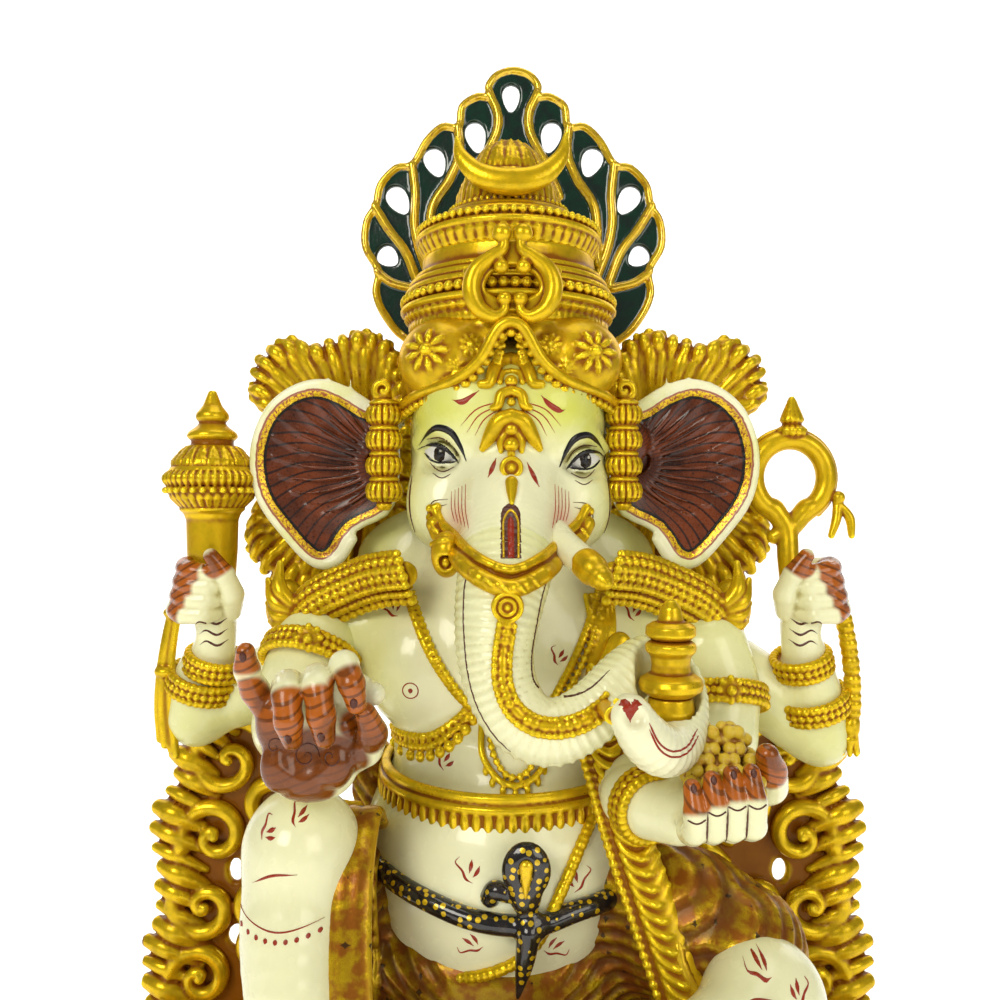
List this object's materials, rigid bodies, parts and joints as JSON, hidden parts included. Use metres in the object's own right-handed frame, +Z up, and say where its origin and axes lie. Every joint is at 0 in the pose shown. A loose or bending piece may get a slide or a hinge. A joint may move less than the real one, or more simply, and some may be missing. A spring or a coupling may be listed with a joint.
{
  "type": "ganesha idol",
  "caption": "Seated Ganesha idol in painted cast marble with raised rear arms, curled trunk, tiered crown with a feather fan, scrolled backdrop and lotus plinth.",
  "frame": {"origin": "middle of the underside of the felt pad under the plinth", "axes": "+Z up, -Y towards the viewer that the figure faces, +X to the figure's left hand (the viewer's right)"},
  "size_m": [0.33, 0.214, 0.457],
  "materials": {
    "ivory_marble": "polished cast marble, ivory, with painted red, black and henna details under clear lacquer",
    "gold_paint": "cast marble with glossy gold paint and a red-brown wash in the recesses",
    "green_enamel": "glossy dark green enamel with gold ribs and rims",
    "black_enamel": "glossy black enamel with gold dots",
    "sweet_yellow": "gold-yellow paint, glossy",
    "steel_pin": "plain drawn steel",
    "felt": "dense felt sheet"
  },
  "bodies": {
    "root": {"lotus_plinth": "gold_paint", "seat_cushion": "gold_paint", "tusk_ferrule": "gold_paint", "broken_tusk_cap": "gold_paint", "crown_cap": "gold_paint", "crown_lower_tier": "gold_paint", "crown_upper_tier": "gold_paint", "crown_crescent": "gold_paint", "crown_medallion": "gold_paint", "forehead_pendant": "gold_paint", "brow_swags": "gold_paint", "trunk_band": "gold_paint", "trunk_strap": "gold_paint", "earring_right": "gold_paint", "earring_left": "gold_paint", "bangle_wrist_back_right": "gold_paint", "bangle_elbow_back_right": "gold_paint", "bangle_wrist_back_left": "gold_paint", "bangle_elbow_back_left": "gold_paint", "mace": "gold_paint", "noose": "gold_paint", "armlet_front_right": "gold_paint", "bangle_front_right": "gold_paint", "armlet_front_left": "gold_paint", "bangle_front_left": "gold_paint", "water_pot": "gold_paint", "dhoti": "gold_paint", "anklet_right": "gold_paint", "anklet_left": "gold_paint", "shoulder_collar_right": "gold_paint", "shoulder_collar_left": "gold_paint", "chest_chains": "gold_paint", "waistband": "gold_paint", "sacred_thread": "gold_paint", "sash_garland": "gold_paint", "scroll_frame_right": "gold_paint", "scroll_frame_left": "gold_paint", "shoulder_plume_right": "gold_paint", "shoulder_plume_left": "gold_paint", "arm_scarf_right": "gold_paint", "arm_scarf_left": "gold_paint", "torso": "ivory_marble", "head": "ivory_marble", "trunk": "ivory_marble", "ear_right": "ivory_marble", "ear_left": "ivory_marble", "tusk_left": "ivory_marble", "arm_back_right": "ivory_marble", "arm_back_left": "ivory_marble", "arm_front_right": "ivory_marble", "arm_front_left": "ivory_marble", "held_tusk": "ivory_marble", "leg_right": "ivory_marble", "leg_left": "ivory_marble", "feather_fan": "green_enamel", "serpent_belt": "black_enamel", "sweets": "sweet_yellow", "arm_pin_right": "steel_pin", "arm_pin_left": "steel_pin", "felt_pad": "felt"}
  },
  "joints": []
}
